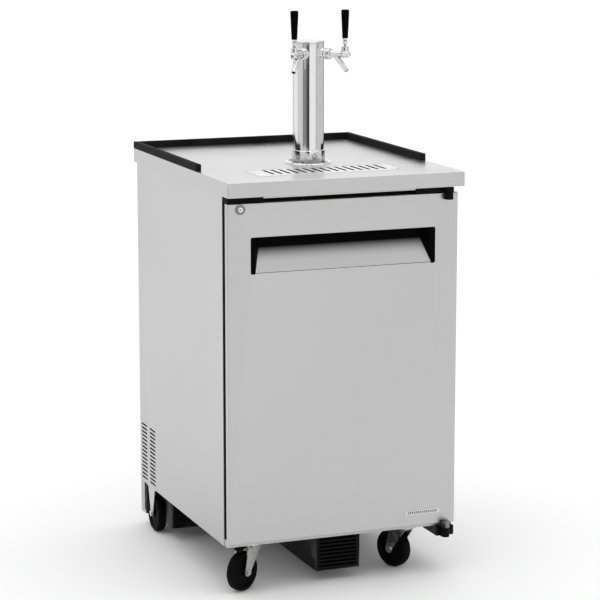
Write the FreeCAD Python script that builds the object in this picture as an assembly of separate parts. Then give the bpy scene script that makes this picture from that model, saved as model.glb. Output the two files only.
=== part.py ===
import FreeCAD, Part
import math
import os

os.makedirs("parts", exist_ok=True)

# One-keg beer dispenser on castors, millimetres.  Floor is z = 0, +Z is up, the door faces -Y and the
# origin lies under the middle of the worktop.

V = FreeCAD.Vector

# ---- driving dimensions ------------------------------------------------------------------------------
TOP_W, TOP_D, TOP_Z, TOP_EDGE = 600.0, 730.0, 998.0, 35.0   # worktop: width, depth, height, edge height
BODY_X = 294.0                       # half width over the side panels
BODY_Y0, BODY_Y1 = -307.0, 357.0     # front and rear of the side panels
BODY_Z0, BODY_Z1 = 118.0, 963.0      # underside of the cabinet, underside of the worktop
SHEET = 1.0                          # outer sheet metal
PAN = 1.2                            # structural sheet metal

ROOM_X, ROOM_Z0, ROOM_Z1, ROOM_Y1 = 232.0, 170.0, 895.0, 300.0   # keg compartment
STEP_Y, STEP_Z = 140.0, 345.0        # step of the compartment over the machinery
BAY_Y, BAY_Z = 190.0, 300.0          # machine bay: front wall and roof

DOOR_Y, DOOR_LIP = -340.0, 14.0      # door face, depth of its folded edge
DOOR_Z0, DOOR_Z1 = 127.0, 946.0
FRAME_Y = -312.0                     # front of the breaker frame
HINGE_X, HINGE_Y = 266.0, -351.0     # door pivot
PIN_R = 4.0

GRIP_X0, GRIP_X1, GRIP_DEEP = 224.0, 206.0, 27.0            # hand recess: half widths and depth
RIM_X, RIM_CORNER = 235.5, 4.0         # flush rim of the recess: half width and corner radius
GRIP_Z0, GRIP_RISE, GRIP_Z1 = 779.5, 835.0, 863.0           # its lower edge, top of ramp, upper edge

LOCK_X, LOCK_Z = -261.0, 932.0

TRAY_X, TRAY_Y0, TRAY_Y1 = 188.0, -277.0, -165.0
SLOTS, SLOT_PITCH, SLOT_W, SLOT_Y0, SLOT_Y1 = 15, 20.5, 8.0, -251.0, -174.0

TOWER_X, TOWER_Y, TOWER_R, TOWER_TOP = 12.0, -75.0, 38.0, 1297.0
TAP_ANGLE = 41.0                     # each tap, from straight ahead
TAP_Z, LEVER_R, LEVER_Z = 1267.0, 100.0, 1281.0

WHEEL_R, WHEEL_W, TRAIL = 48.0, 26.0, 36.0
FRONT_CASTORS = {"left": (-214.0, -276.0, 212.0), "right": (190.0, -276.0, 115.0)}   # x, y, rest heading
REAR_X, REAR_Y, REAR_W = 278.0, 268.0, 24.0
AXLE_R = 5.0
PEDAL_X, PEDAL_Z = 30.5, 109.4         # brake pedal pivot, ahead of the swivel axis
RUN = 0.05                           # radial running clearance


# ---- small helpers -----------------------------------------------------------------------------------
def box(x0, x1, y0, y1, z0, z1):
    return Part.makeBox(x1 - x0, y1 - y0, z1 - z0, V(x0, y0, z0))


def rod(r, start, end):
    a, b = V(*start), V(*end)
    return Part.makeCylinder(r, (b - a).Length, a, b - a)


def taper(r0, r1, start, end):
    a, b = V(*start), V(*end)
    return Part.makeCone(r0, r1, (b - a).Length, a, b - a)


def ring(r_out, r_in, start, end):
    return rod(r_out, start, end).cut(rod(r_in, start, end))


def prism(points, direction):
    return Part.Face(Part.makePolygon([V(*p) for p in points] + [V(*points[0])])).extrude(V(*direction))


def side_prism(yz, x0, x1):
    return prism([(x0, y, z) for y, z in yz], (x1 - x0, 0, 0))


def flat_prism(xy, z0, z1):
    return prism([(x, y, z0) for x, y in xy], (0, 0, z1 - z0))


def revolve(rz, centre=(0, 0, 0), axis=(0, 0, 1)):
    """Turn a closed profile of (radius, height) points about +Z, then lay it along an axis."""
    face = Part.Face(Part.makePolygon([V(r, 0, z) for r, z in rz] + [V(rz[0][0], 0, rz[0][1])]))
    solid = face.revolve(V(0, 0, 0), V(0, 0, 1), 360)
    solid.Placement = FreeCAD.Placement(V(*centre), FreeCAD.Rotation(V(0, 0, 1), V(*axis)))
    return solid


def solid_between(front, back):
    """Six-sided solid between two four-cornered outlines."""
    a, b = [V(*p) for p in front], [V(*p) for p in back]
    loops = [a, b] + [[a[i], a[(i + 1) % 4], b[(i + 1) % 4], b[i]] for i in range(4)]
    return Part.makeSolid(Part.makeShell([Part.Face(Part.makePolygon(q + [q[0]])) for q in loops]))


def fuse(shapes):
    return shapes[0].multiFuse(list(shapes[1:])).removeSplitter()


def cut(shape, tools):
    return shape.cut(list(tools))


def save(name, *shapes):
    shape = shapes[0] if len(shapes) == 1 else Part.makeCompound(list(shapes))
    shape.exportStep("parts/" + name + ".step")


def moved(shape, place):
    shape = shape.copy()
    shape.Placement = place.multiply(shape.Placement)
    return shape


def mirror_x(shape):
    return shape.mirror(V(0, 0, 0), V(1, 0, 0))


def span(count, pitch, centre=0.0):
    return [centre + (i - (count - 1) / 2) * pitch for i in range(count)]


# ---- cabinet -----------------------------------------------------------------------------------------
def side_panel():
    """Left panel with its folded edges and two columns of louvres for the machine bay."""
    x = -BODY_X
    panel = [
        box(x, x + SHEET, BODY_Y0, BODY_Y1, BODY_Z0, BODY_Z1),
        box(x + SHEET, x + 18, BODY_Y0, BODY_Y0 + SHEET, BODY_Z0, BODY_Z1),
        box(x + SHEET, x + 12, BODY_Y1 - SHEET, BODY_Y1, BODY_Z0, BODY_Z1),
    ]
    slots, vanes = [], []
    for y0, y1 in ((229, 275), (298, 343)):
        for z in span(15, 10.2, 202.4):
            slots.append(box(x - 1, x + SHEET + 1, y0, y1, z - 2.4, z + 2.4))
            vane = [(x + 0.4, z + 2.4), (x + 4.4, z - 1.2), (x + 5.1, z - 0.6), (x + SHEET, z + 3.2)]
            vanes.append(prism([(vx, y0, vz) for vx, vz in vane], (0, y1 - y0, 0)))
    return fuse([cut(fuse(panel), slots)] + vanes)


def back_panel():
    return box(-291, 291, BODY_Y1, BODY_Y1 + SHEET, 296, BODY_Z1)


def rear_cover():
    """Lift-off cover of the machine bay: air slots and a folded return at each side."""
    sheet = box(-291, 291, BODY_Y1, BODY_Y1 + SHEET, 33, 295.5)
    returns = [box(sx * 292.5 - 0.5, sx * 292.5 + 0.5, 329, BODY_Y1 + SHEET, 33, 117.5) for sx in (-1, 1)]
    tabs = [box(min(sx * 290, sx * 293), max(sx * 290, sx * 293), BODY_Y1, BODY_Y1 + SHEET, 33, 117.5)
            for sx in (-1, 1)]
    slots = [box(x - 30, x + 30, 350, 360, z - 2.5, z + 2.5)
             for x in span(5, 90) for z in span(13, 15, 170)]
    return cut(fuse([sheet] + returns + tabs), slots)


def base_pan():
    """Floor pan with the front sill folded from it and the bulkhead that closes off the machine bay."""
    pan = box(-293, 293, BODY_Y0 + 1, BODY_Y1 - 1, BODY_Z0, BODY_Z0 + PAN)
    pan = pan.cut(box(-245, 245, BAY_Y + 2, 326, BODY_Z0 - 1, BODY_Z0 + 3))
    sill = fuse([box(-293, 293, -325.7, BODY_Y0, BODY_Z0, 125), box(-293, 236, -325.7, BODY_Y0, 125, 136)])
    sill = cut(sill, [box(-292, 292, -324.7, BODY_Y0 + 1, BODY_Z0 + PAN, 124),
                      box(-292, 235, -324.7, BODY_Y0 + 1, BODY_Z0 + PAN, 135)])
    neck = box(-275, 275, BODY_Y0, BODY_Y0 + 1, BODY_Z0, BODY_Z0 + PAN)
    wall = box(-292.8, 292.8, BAY_Y, BAY_Y + PAN, BODY_Z0 + PAN, BAY_Z)
    roof = box(-292.8, 292.8, BAY_Y, BODY_Y1 - 1, BAY_Z - PAN, BAY_Z)
    return fuse([pan, sill, neck, wall, roof])


def front_frame():
    """Plastic breaker frame between the outer sheet and the compartment liner."""
    frame = box(-293, 293, FRAME_Y, BODY_Y0, 136.2, BODY_Z1)
    return frame.cut(box(-ROOM_X, ROOM_X, FRAME_Y - 1, BODY_Y0 + 1, ROOM_Z0, ROOM_Z1))


def room_profile(grow):
    """Side outline of the compartment, stepped over the machine bay, grown outward by a wall."""
    return [(BODY_Y0, ROOM_Z0 - grow), (STEP_Y + grow, ROOM_Z0 - grow), (STEP_Y + grow, STEP_Z - grow),
            (ROOM_Y1 + grow, STEP_Z - grow), (ROOM_Y1 + grow, ROOM_Z1 + grow), (BODY_Y0, ROOM_Z1 + grow)]


def tower_bore(r, z0, z1):
    return rod(r, (TOWER_X, TOWER_Y, z0), (TOWER_X, TOWER_Y, z1))


def liner():
    shell = side_prism(room_profile(SHEET), -ROOM_X - SHEET, ROOM_X + SHEET)
    return cut(shell, [side_prism(room_profile(0), -ROOM_X, ROOM_X), tower_bore(30, 880, 910)])


def insulation():
    """Foam between the shells, up into the worktop."""
    foam = fuse([box(-293, 293, BODY_Y0 + 1, BODY_Y1 - 1, BODY_Z0 + PAN, BODY_Z1),
                 box(-292, 292, BODY_Y0 + 1, BODY_Y1 - 1, BODY_Z1, TOP_Z - PAN)])
    return cut(foam, [side_prism(room_profile(SHEET), -ROOM_X - SHEET, ROOM_X + SHEET),
                      box(-300, 300, BAY_Y, 400, 100, BAY_Z), tower_bore(30, 880, 1010),
                      box(-TRAY_X, TRAY_X, TRAY_Y0, TRAY_Y1, 969, 1010)])


def machine_housing():
    """Drop pan under the machine bay, waisted between the rear wheels, open to the air duct."""
    def outline(inset):
        f, w, r = 272 - inset, 247 - inset, 291 - inset
        y0, y1, y2, y3 = 155 + inset, 214 - inset, 319 + inset, 328.6 - inset
        half = [(f, y0), (f, y1), (w, y1), (w, y2), (r, y2), (r, y3)]
        return half + [(-x, y) for x, y in reversed(half)]
    pan = flat_prism(outline(0), 33, BODY_Z0).cut(flat_prism(outline(PAN), 33 + PAN, BODY_Z0 + 1))
    return pan.cut(box(-55, 55, 150, 160, 36, 112))


def air_duct():
    """Intake duct under the floor, with a louvred mouth at the front."""
    duct = box(-57, 57, -305, 155, 28, BODY_Z0).cut(box(-55.5, 55.5, -303.5, 156, 29.5, 116.5))
    return cut(duct, [box(-48, 48, -306, -303, z - 2, z + 2) for z in span(8, 9.5, 73)])


def worktop():
    top = box(-TOP_W / 2, TOP_W / 2, -TOP_D / 2, TOP_D / 2, BODY_Z1, TOP_Z)
    top = top.makeFillet(1.5, [e for e in top.Edges if e.BoundBox.ZMin > TOP_Z - 0.1
                               or e.BoundBox.ZLength > 30])
    inner = box(-TOP_W / 2 + PAN, TOP_W / 2 - PAN, -TOP_D / 2 + PAN, TOP_D / 2 - PAN, BODY_Z1 - 1,
                TOP_Z - PAN)
    return cut(top, [inner, tower_bore(34, 990, 1000),
                     box(-TRAY_X + 2.6, TRAY_X - 2.6, TRAY_Y0 + 2.6, TRAY_Y1 - 2.6, 990, 1000)])


def drip_tray():
    """Pan dropped into the worktop on a flat rim, with four corner posts for the grate."""
    tray = fuse([box(-TRAY_X, TRAY_X, TRAY_Y0, TRAY_Y1, TOP_Z, TOP_Z + 0.8),
                 box(-TRAY_X + 3, TRAY_X - 3, TRAY_Y0 + 3, TRAY_Y1 - 3, 970, TOP_Z)])
    tray = tray.cut(box(-TRAY_X + 4, TRAY_X - 4, TRAY_Y0 + 4, TRAY_Y1 - 4, 971, 1010))
    posts = [box(x - 4, x + 4, y - 4, y + 4, 971, 989.7)
             for x in (-TRAY_X + 8, TRAY_X - 8) for y in (TRAY_Y0 + 8, TRAY_Y1 - 8)]
    return fuse([tray] + posts)


def drip_grate():
    x, y0, y1 = TRAY_X - 4.6, TRAY_Y0 + 4.6, TRAY_Y1 - 4.6
    plate = box(-x, x, y0, y1, 990, TOP_Z + 0.4)
    plate = plate.cut(box(-x + PAN, x - PAN, y0 + PAN, y1 - PAN, 989, TOP_Z - 1))
    holes = [box(c - SLOT_W / 2, c + SLOT_W / 2, SLOT_Y0 + 4, SLOT_Y1 - 4, 980, 1010)
             for c in span(SLOTS, SLOT_PITCH)]
    ends = [rod(SLOT_W / 2, (c, y, 980), (c, y, 1010))
            for c in span(SLOTS, SLOT_PITCH) for y in (SLOT_Y0 + 4, SLOT_Y1 - 4)]
    return cut(plate, holes + ends + [rod(4, (x - 12, y0 + 12, 980), (x - 12, y0 + 12, 1010))])


def guard_rails():
    """Raised bumpers along the two sides and the rear of the worktop."""
    def rail(x0, x1, y0, y1):
        bar = box(x0, x1, y0, y1, TOP_Z, TOP_Z + 17)
        return bar.makeFillet(2, [e for e in bar.Edges if e.BoundBox.ZMin > TOP_Z + 16])
    x, y = TOP_W / 2, TOP_D / 2
    left = rail(-x, -x + 14, -135, y)
    return left, mirror_x(left), rail(-x + 14, x - 14, y - 14, y)


# ---- door --------------------------------------------------------------------------------------------
def grip_cavity(grow):
    """Hand recess: splayed cheeks, a sloping floor and a finger pocket behind the upper edge."""
    y0, y1 = DOOR_Y - 1, DOOR_Y + GRIP_DEEP + grow
    xa, xb, g = GRIP_X0 + grow, GRIP_X1 + grow, grow
    z0, z1, top = GRIP_Z0 - g, GRIP_RISE - g, GRIP_Z1 + g
    splay = solid_between([(-xa, y0, z0), (xa, y0, z0), (xa, y0, top), (-xa, y0, top)],
                          [(-xb, y1, z1), (xb, y1, z1), (xb, y1, top), (-xb, y1, top)])
    return fuse([splay, box(-xb, xb, DOOR_Y + 8 - g, y1, GRIP_Z1 - 5, 884 + g)])


def grip_rim(y0, y1):
    """Rounded outline of the cup's flush rim, left open along the foot of the slope."""
    plate = box(-RIM_X, RIM_X, y0, y1, GRIP_Z0 - 2, GRIP_Z1 + 2)
    plate = plate.makeFillet(RIM_CORNER, [e for e in plate.Edges if e.BoundBox.YLength > y1 - y0 - 0.1])
    return plate.cut(box(-GRIP_X0, GRIP_X0, y0 - 1, y1 + 1, GRIP_Z0 - 3, GRIP_Z0))


def grip_ramp():
    """Bright sloping floor of the hand recess, laid on the cup."""
    slope = (GRIP_RISE - GRIP_Z0) / (GRIP_DEEP + 1)
    lean = (GRIP_X0 - GRIP_X1) / (GRIP_DEEP + 1)
    edges = []
    for depth in (0.1, GRIP_DEEP - 0.1):
        x, y, z = GRIP_X0 - lean * (depth + 1) - 0.1, DOOR_Y + depth, GRIP_Z0 + slope * (depth + 1) + 0.02
        edges.append([(-x, y, z), (x, y, z), (x, y, z + 1.6), (-x, y, z + 1.6)])
    return solid_between(*edges)


def door_skin():
    outer = box(-BODY_X, BODY_X, DOOR_Y, DOOR_Y + DOOR_LIP, DOOR_Z0, DOOR_Z1)
    outer = outer.makeFillet(2.0, [e for e in outer.Edges if e.BoundBox.YMax < DOOR_Y + 0.1])
    inner = box(-BODY_X + SHEET, BODY_X - SHEET, DOOR_Y + SHEET, DOOR_Y + DOOR_LIP + 1,
                DOOR_Z0 + SHEET, DOOR_Z1 - SHEET)
    return cut(outer, [inner, rod(9.5, (LOCK_X, DOOR_Y - 1, LOCK_Z), (LOCK_X, DOOR_Y + 3, LOCK_Z)),
                       grip_rim(DOOR_Y - 1, DOOR_Y + 3)])


def grip_cup():
    """Dark moulded cup with a narrow rim level with the door face."""
    rim = grip_rim(DOOR_Y, DOOR_Y + SHEET)
    body = grip_cavity(2).common(box(-260, 260, DOOR_Y + SHEET, -300, 760, 900))
    return fuse([rim, body]).cut(grip_cavity(0))


DOOR_INNER_Y = DOOR_Y + DOOR_LIP     # back of the folded edge
PLUG_X, PLUG_Z0, PLUG_Z1, PLUG_Y = 227.0, 178.0, 888.0, -296.0


def door_plug(inset):
    """Raised inner panel of the door, rounded at its free edges."""
    plug = box(-PLUG_X + inset, PLUG_X - inset, DOOR_INNER_Y - SHEET, PLUG_Y - inset, PLUG_Z0 + inset,
               PLUG_Z1 - inset)
    return plug.makeFillet(10 - inset, [e for e in plug.Edges if e.BoundBox.YMin > PLUG_Y - inset - 0.1])


def door_core():
    """Foam filling of the door and of the raised panel behind it."""
    slab = box(-BODY_X + SHEET, BODY_X - SHEET, DOOR_Y + SHEET, DOOR_INNER_Y - SHEET, DOOR_Z0 + SHEET,
               DOOR_Z1 - SHEET)
    tools = [grip_cavity(2), rod(9.5, (LOCK_X, -345, LOCK_Z), (LOCK_X, -320, LOCK_Z))]
    return cut(fuse([slab, door_plug(2)]), tools)


def door_liner():
    """Inner door panel with a raised plug that reaches into the compartment."""
    sheet = box(-BODY_X + SHEET, BODY_X - SHEET, DOOR_INNER_Y - SHEET, DOOR_INNER_Y, DOOR_Z0 + SHEET,
                DOOR_Z1 - SHEET)
    lock_hole = rod(9.5, (LOCK_X, -330, LOCK_Z), (LOCK_X, -320, LOCK_Z))
    return cut(fuse([sheet, door_plug(0)]), [door_plug(2), lock_hole])


def door_gasket():
    """Magnetic gasket: flat base and a narrower bulb, as one frame."""
    def frame(grow_out, width, y0, y1):
        out = box(-235 - grow_out, 235 + grow_out, y0, y1, 166 - grow_out, 898 + grow_out)
        k = grow_out - width
        return out.cut(box(-235 - k, 235 + k, y0 - 1, y1 + 1, 166 - k, 898 + k))
    return fuse([frame(18, 18, DOOR_INNER_Y, -321), frame(15, 12, -321, FRAME_Y - 0.35)])


def hinge_knuckle(z0, z1):
    block = fuse([box(HINGE_X - 10, HINGE_X + 10, HINGE_Y, DOOR_Y, z0, z1),
                  rod(10, (HINGE_X, HINGE_Y, z0), (HINGE_X, HINGE_Y, z1))])
    return block.cut(rod(PIN_R + RUN, (HINGE_X, HINGE_Y, z0 - 1), (HINGE_X, HINGE_Y, z1 + 1)))


def hinge_bracket_top():
    """Fixed arm over the door with the pin hanging from it, and its cover bar."""
    z0, z1 = 948.0, 958.5
    arm = fuse([box(183, 283, DOOR_Y - 2, FRAME_Y, z0, z1), box(252, 277, HINGE_Y, DOOR_Y, z0, z1),
                rod(11, (HINGE_X, HINGE_Y, z0), (HINGE_X, HINGE_Y, z1))])
    return fuse([arm, rod(PIN_R, (HINGE_X, HINGE_Y, 933), (HINGE_X, HINGE_Y, z0))])


def strike_cap():
    """Blank cap over the left corner; the lock's cam turns up into its slot."""
    cap = box(-293, -202, DOOR_Y - 2, FRAME_Y, 948, 958.5)
    return cap.cut(box(-290, -232, -326, -318.5, 947, 957))


def hinge_bracket_bottom():
    """Heavy bracket bolted under the right front corner, carrying the lower pin."""
    plate = box(247, 293, DOOR_Y, -232, 95, BODY_Z0)
    nose = fuse([box(256, 276, HINGE_Y, DOOR_Y, 95, BODY_Z0),
                 rod(10, (HINGE_X, HINGE_Y, 95), (HINGE_X, HINGE_Y, BODY_Z0)),
                 rod(PIN_R, (HINGE_X, HINGE_Y, BODY_Z0), (HINGE_X, HINGE_Y, 132))])
    hollow = box(251, 289, DOOR_Y + 6, -240, 94, 114)
    return fuse([plate.cut(hollow), nose])


def lock_bezel():
    return fuse([ring(12, 5.9, (LOCK_X, DOOR_Y - 2.5, LOCK_Z), (LOCK_X, DOOR_Y, LOCK_Z)),
                 ring(9.4, 5.9, (LOCK_X, DOOR_Y, LOCK_Z), (LOCK_X, DOOR_INNER_Y + 0.5, LOCK_Z))])


def lock_plug():
    """Turning plug with its keyway, and the cam on its inner end."""
    plug = rod(5.85, (LOCK_X, DOOR_Y - 3, LOCK_Z), (LOCK_X, -321.5, LOCK_Z))
    plug = plug.cut(box(LOCK_X - 3.2, LOCK_X + 3.2, DOOR_Y - 4, DOOR_Y + 6, LOCK_Z - 0.7, LOCK_Z + 0.7))
    return fuse([plug, box(LOCK_X - 6, LOCK_X + 23, -324.5, -322, LOCK_Z - 6, LOCK_Z + 6)])


def badge():
    plate = box(162, 254, DOOR_Y - 1.5, DOOR_Y, 155.5, 166.5)
    return plate.makeFillet(2.5, [e for e in plate.Edges if e.BoundBox.YLength > 1.4])


# ---- tower and taps ----------------------------------------------------------------------------------
def tower_flange():
    """Round foot with the clamping collar that holds the column."""
    foot = revolve([(34, TOP_Z), (58, TOP_Z), (58, TOP_Z + 2), (56, TOP_Z + 3.5), (41, TOP_Z + 4.5),
                    (40.6, TOP_Z + 32), (39.6, TOP_Z + 33), (TOWER_R, TOP_Z + 33), (TOWER_R, TOP_Z + 4.5),
                    (34, TOP_Z + 4.5)], (TOWER_X, TOWER_Y, 0))
    screws, sinks = [], []
    for k in range(4):
        a = math.radians(45 + 90 * k)
        c = (TOWER_X + 49 * math.cos(a), TOWER_Y + 49 * math.sin(a))
        sinks.append(rod(2.2, (c[0], c[1], TOP_Z + 3), (c[0], c[1], TOP_Z + 9)))
        screws.append(rod(4.5, (c[0], c[1], TOP_Z + 2.5), (c[0], c[1], TOP_Z + 6)))
    for k in range(6):
        a = math.radians(30 + 60 * k)
        tip = (TOWER_X + 41.8 * math.cos(a), TOWER_Y + 41.8 * math.sin(a), TOP_Z + 20)
        screws.append(rod(2.6, (TOWER_X + 38.4 * math.cos(a), TOWER_Y + 38.4 * math.sin(a), TOP_Z + 20), tip))
    return cut(fuse([foot] + screws), sinks)


def tap_frame(shape, side):
    """Place a tap piece drawn along +X from the tower axis."""
    turn = FreeCAD.Rotation(V(0, 0, 1), -90 + side * TAP_ANGLE)
    return moved(shape, FreeCAD.Placement(V(TOWER_X, TOWER_Y, 0), turn))


def both_taps(shape):
    return tap_frame(shape, -1), tap_frame(shape, 1)


def tower_column():
    tube = ring(TOWER_R, TOWER_R - 1.5, (TOWER_X, TOWER_Y, TOP_Z + 4.5), (TOWER_X, TOWER_Y, TOWER_TOP - 8))
    return cut(tube, both_taps(rod(11.2, (20, 0, TAP_Z), (50, 0, TAP_Z))))


def tower_cap():
    """Pressed lid on the column, with the spigot that holds it in the tube."""
    r, z = TOWER_R, TOWER_TOP
    return revolve([(0, z - 8), (r - 4, z - 8), (r - 4, z - 13), (r - 1.6, z - 13), (r - 1.6, z - 8),
                    (r + 0.8, z - 8), (r + 0.8, z - 1.5), (r - 0.7, z), (0, z)], (TOWER_X, TOWER_Y, 0))


def shank():
    """Threaded shank through the column wall, its collar outside and lock nut inside."""
    body = revolve([(3.5, 12), (6.5, 12), (6.5, 18), (11, 18), (11, 52), (9.5, 52), (9.5, 60), (3.5, 60)],
                   (0, 0, TAP_Z), (1, 0, 0))
    collar = revolve([(10.5, 30), (14.5, 30), (14.5, 41.5), (13, 44), (10.5, 44)], (0, 0, TAP_Z), (1, 0, 0))
    collar = collar.cut(rod(TOWER_R + 0.02, (0, 0, TAP_Z - 20), (0, 0, TAP_Z + 20)))
    nut = ring(15, 10.5, (25, 0, TAP_Z), (30.5, 0, TAP_Z))
    return fuse([body, collar, nut])


def coupling_nut():
    """Ribbed nut drawing the tap onto the shank."""
    nut = revolve([(11.05, 45.2), (13, 45.2), (13.6, 46.5), (13.6, 50), (12.6, 51), (12.6, 53),
                   (13.6, 54), (13.6, 60.5), (12.2, 62), (9.2, 62), (9.2, 60.2), (11.05, 60.2)],
                  (0, 0, TAP_Z), (1, 0, 0))
    holes = []
    for k in range(8):
        a = math.radians(45 * k)
        y, z = math.cos(a), math.sin(a)
        holes.append(rod(1.5, (57, 12.4 * y, TAP_Z + 12.4 * z), (57, 15 * y, TAP_Z + 15 * z)))
    return cut(nut, holes)


def tap_body():
    """Forward-sealing tap: barrel, round nose, boss for the lever and the angled spout."""
    barrel = revolve([(0, 60.3), (9.1, 60.3), (9.1, 64), (7.8, 68), (7.3, 78), (7.3, 90), (7.95, 96),
                      (7.95, 106), (6.8, 111.5), (3.8, 114), (0, 114)], (0, 0, TAP_Z), (1, 0, 0))
    boss = taper(7.6, 8.75, (LEVER_R, 0, TAP_Z + 1), (LEVER_R, 0, TAP_Z + 8))
    along = lambda t: (76 + 29 * t, 0, TAP_Z - 5 - 34.5 * t)
    spout = taper(7.0, 6.3, along(0), along(1))
    mouth = rod(4.9, along(0.12), along(1.05))
    bore = rod(6.3, (70, 0, TAP_Z), (107, 0, TAP_Z))
    inlet = rod(3.5, (58, 0, TAP_Z), (71, 0, TAP_Z))
    well = rod(7.0, (LEVER_R, 0, TAP_Z), (LEVER_R, 0, TAP_Z + 9))
    body = fuse([barrel, boss, spout])
    for hollow in (bore, inlet, well, mouth):
        body = body.cut(hollow)
    return body


def bonnet():
    """Screwed ring whose spherical seat carries the lever's ball."""
    z0 = TAP_Z + 8
    turned = revolve([(0, z0), (8.75, z0), (8.9, z0 + 1), (8.9, z0 + 9.5), (8.1, z0 + 12), (0, z0 + 12)],
                     (LEVER_R, 0, 0))
    cup = Part.makeSphere(5.5 + RUN, V(LEVER_R, 0, LEVER_Z))
    top = taper(5.0, 7.4, (LEVER_R, 0, LEVER_Z + 2), (LEVER_R, 0, z0 + 12.1))
    below = rod(6, (LEVER_R, 0, z0 - 1), (LEVER_R, 0, LEVER_Z))
    return cut(turned, [cup, top, below])


def plunger():
    """Sliding valve shaft with the two discs that the lever's tip works between."""
    return revolve([(0, 76.5), (5.6, 76.5), (5.6, 79.5), (2.2, 80.5), (2.2, 95), (4.4, 95), (4.4, 96.6),
                    (1.2, 96.6), (1.2, 97.2), (0, 97.2)], (0, 0, TAP_Z), (1, 0, 0)).fuse(
        revolve([(2.4, 103.4), (4.4, 103.4), (4.4, 104.6), (2.4, 104.6)], (0, 0, TAP_Z), (1, 0, 0))).fuse(
        box(95, 104.6, -0.9, 0.9, TAP_Z - 4.2, TAP_Z - 2.6)).removeSplitter()


def lever():
    """Ball, tip and stem of the tap lever, with the ferrule that takes the handle."""
    z = LEVER_Z
    turned = revolve([(0, z - 12), (1.6, z - 12), (2, z - 11), (2, z - 4), (3, z + 4), (3, z + 11),
                      (6.2, z + 11), (6.2, z + 14), (4.6, z + 16), (4.6, z + 21), (6.6, z + 25), (0, z + 25)],
                     (LEVER_R, 0, 0))
    groove = cut(rod(6, (LEVER_R, -0.8, z), (LEVER_R, 0.8, z)), [rod(5.2, (LEVER_R, -1, z), (LEVER_R, 1, z))])
    return cut(fuse([turned, Part.makeSphere(5.5, V(LEVER_R, 0, z))]), [groove])


def handle():
    """Tapered handle screwed on the ferrule."""
    z = LEVER_Z + 25
    return revolve([(0, z), (6.6, z), (7, z + 1), (7.6, z + 14), (9.7, z + 60), (9.8, z + 65),
                    (9.0, z + 67.6), (7.4, z + 68.6), (0, z + 68.6)], (LEVER_R, 0, 0))


# ---- castors -----------------------------------------------------------------------------------------
def castor_frame(shape, which):
    """Place a castor piece drawn with its wheel trailing along +X from the swivel axis."""
    x, y, heading = FRONT_CASTORS[which]
    return moved(shape, FreeCAD.Placement(V(x, y, 0), FreeCAD.Rotation(V(0, 0, 1), heading)))


def castor_plate(which):
    x, y, _ = FRONT_CASTORS[which]
    plate = box(x - 38, x + 38, y - 30, y + 30, BODY_Z0 - 3, BODY_Z0)
    pin = fuse([rod(6, (x, y, 103), (x, y, BODY_Z0 - 3)), rod(9, (x, y, 101.5), (x, y, 103.8))])
    heads = [rod(4.4, (x + sx * 33, y + sy * 25, BODY_Z0 - 5), (x + sx * 33, y + sy * 25, BODY_Z0 - 3))
             for sx in (-1, 1) for sy in (-1, 1)]
    return fuse([plate, pin] + heads)


def fork_leg(y0, y1, xz, boss):
    leg = prism([(x, y0, z) for x, z in xz], (0, y1 - y0, 0))
    return leg.fuse(rod(boss, (TRAIL, y0, WHEEL_R), (TRAIL, y1, WHEEL_R)))


def castor_fork():
    """Swivel head, two raked legs, and the axle bolt with its nuts."""
    head = fuse([taper(22, 25, (0, 0, 104), (0, 0, 108)), rod(25, (0, 0, 108), (0, 0, 114.6)),
                 box(-18, 21, -19, 19, 104, 107)])
    head = cut(head, [rod(6 + RUN, (0, 0, 100), (0, 0, 120)), rod(9.6, (0, 0, 100), (0, 0, 104.2))])
    legs = [fork_leg(s * 17.5 - 1.5, s * 17.5 + 1.5,
                     [(-16, 106), (34, 106), (TRAIL + 10, WHEEL_R + 3), (TRAIL - 9, WHEEL_R - 3)], 10.5)
            for s in (-1, 1)]
    ears = [box(25.5, 35, s * 15.5 - 2, s * 15.5 + 2, 105, 112) for s in (-1, 1)]
    bolt = rod(AXLE_R, (TRAIL, -22, WHEEL_R), (TRAIL, 22, WHEEL_R))
    nuts = [rod(7.5, (TRAIL, s * 19, WHEEL_R), (TRAIL, s * 23, WHEEL_R)) for s in (-1, 1)]
    pivot = rod(2.5, (PEDAL_X, -16, PEDAL_Z), (PEDAL_X, 16, PEDAL_Z))
    return fuse([head] + legs + ears + [bolt, pivot] + nuts)


def brake_pedal():
    """Foot pedal over the wheel; its shoe rests a hair above the tread."""
    arm = prism([(30.5, -11, 110.5), (44, -11, 104.0), (54, -11, 102.0), (54, -11, 104.3), (45, -11, 106.9),
                 (32.5, -11, 113.3)], (0, 22, 0))
    arm = arm.common(rod(54.8, (0, 0, 95), (0, 0, 120)))
    barrel = rod(4.6, (PEDAL_X, -11, PEDAL_Z), (PEDAL_X, 11, PEDAL_Z))
    shoe = box(42, 50, -7, 7, 97.6, 105.5)
    pedal = fuse([arm, barrel, shoe])
    return cut(pedal, [rod(2.5 + RUN, (PEDAL_X, -12, PEDAL_Z), (PEDAL_X, 12, PEDAL_Z)),
                       rod(WHEEL_R + 0.6, (TRAIL, -20, WHEEL_R), (TRAIL, 20, WHEEL_R))])


def wheel(width):
    """Tread, recessed disc and hub, drawn about +Z on the origin."""
    r, h = WHEEL_R, width / 2
    return revolve([(AXLE_R + RUN, -h), (10, -h), (11, -h + 3.5), (33, -h + 4.5), (37, -h + 0.5),
                    (r - 5, -h), (r - 1.2, -h + 3), (r, -h + 7), (r, h - 7), (r - 1.2, h - 3), (r - 5, h),
                    (37, h - 0.5), (33, h - 4.5), (11, h - 3.5), (10, h), (AXLE_R + RUN, h)])


def front_wheel(which):
    upright = FreeCAD.Placement(V(TRAIL, 0, WHEEL_R), FreeCAD.Rotation(V(0, 0, 1), V(0, 1, 0)))
    return castor_frame(moved(wheel(WHEEL_W), upright), which)


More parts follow.
